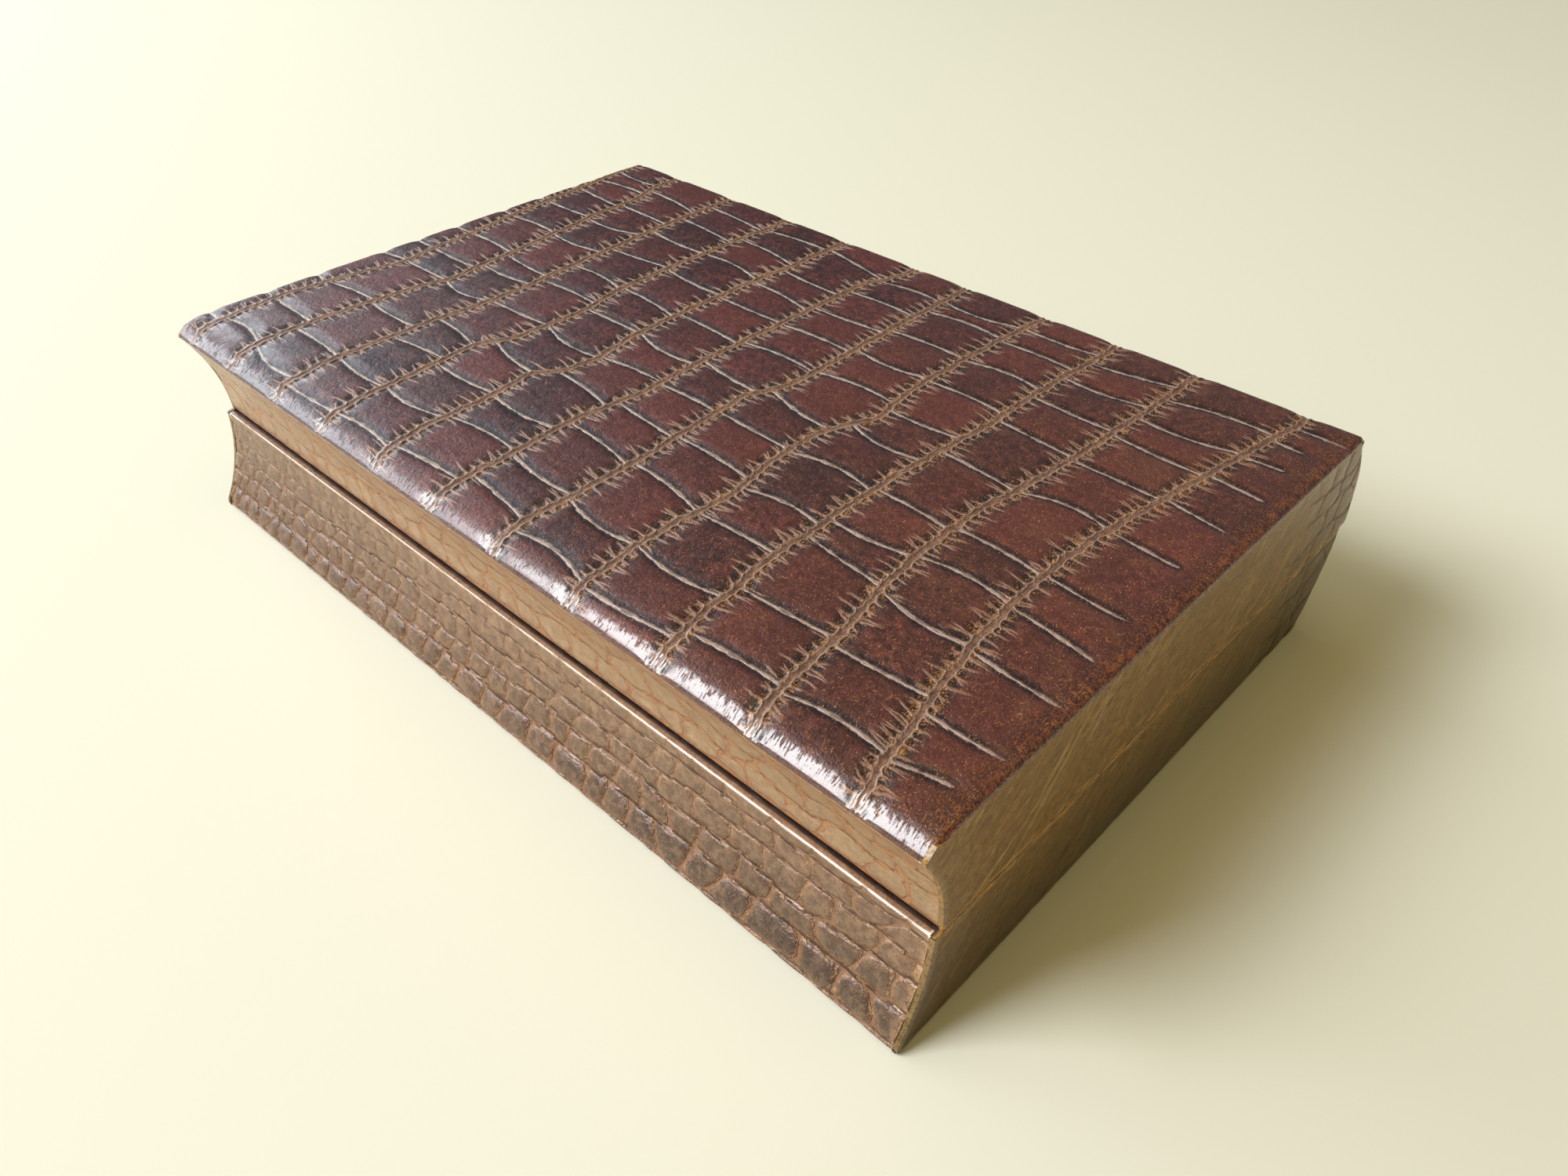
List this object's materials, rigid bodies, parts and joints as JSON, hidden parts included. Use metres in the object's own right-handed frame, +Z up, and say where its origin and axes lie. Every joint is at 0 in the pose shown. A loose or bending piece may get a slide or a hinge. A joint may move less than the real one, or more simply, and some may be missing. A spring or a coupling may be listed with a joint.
{
  "type": "cigarette box",
  "caption": "Book-shaped table box: hollow fore-edge, round spine, hinged padded lid, crocodile-grain leather over wood, cedar-lined compartments.",
  "frame": {"origin": "middle of the underside, on the felt that the box stands on", "axes": "+Z up, +X along the hollow front edge towards its right end, +Y from the hollow front towards the hinged round back"},
  "size_m": [0.24, 0.1708, 0.055],
  "materials": {
    "top_leather": "glazed mahogany-brown leather embossed with large crocodile scales",
    "side_leather": "waxed brown leather embossed with small crocodile scales",
    "carcass_wood": "bare planed softwood",
    "cedar": "bare planed cedar",
    "hinge_brass": "satin brass",
    "pin_steel": "bright steel wire",
    "felt": "brown felt",
    "wadding": "pressed wadding"
  },
  "bodies": {
    "base": {"base_bottom_board": "carcass_wood", "base_front_rail": "carcass_wood", "base_back_rail": "carcass_wood", "base_left_end": "carcass_wood", "base_right_end": "carcass_wood", "base_front_leather": "side_leather", "base_back_leather": "side_leather", "base_left_leather": "side_leather", "base_right_leather": "side_leather", "base_underside_felt": "felt", "cedar_floor": "cedar", "cedar_front_lining": "cedar", "cedar_back_lining": "cedar", "cedar_left_lining": "cedar", "cedar_right_lining": "cedar", "cedar_divider": "cedar", "left_hinge_base_leaf": "hinge_brass", "right_hinge_base_leaf": "hinge_brass", "left_hinge_pin": "pin_steel", "right_hinge_pin": "pin_steel", "base_hinge_screws": "hinge_brass"},
    "lid": {"lid_top_board": "carcass_wood", "lid_front_rail": "carcass_wood", "lid_back_rail": "carcass_wood", "lid_left_end": "carcass_wood", "lid_right_end": "carcass_wood", "lid_padding": "wadding", "lid_top_leather": "top_leather", "lid_front_leather": "side_leather", "lid_back_leather": "side_leather", "lid_left_leather": "side_leather", "lid_right_leather": "side_leather", "lid_cedar_panel": "cedar", "lid_cedar_front": "cedar", "lid_cedar_back": "cedar", "lid_cedar_left": "cedar", "lid_cedar_right": "cedar", "left_hinge_lid_leaf": "hinge_brass", "right_hinge_lid_leaf": "hinge_brass", "lid_hinge_screws": "hinge_brass"}
  },
  "joints": [
    {"name": "lid_hinge", "type": "hinge", "parent": "base", "child": "lid", "pos_m": [0, 0.0908, 0.027], "axis": [-1, 0, 0], "range_deg": [0, 95]}
  ]
}
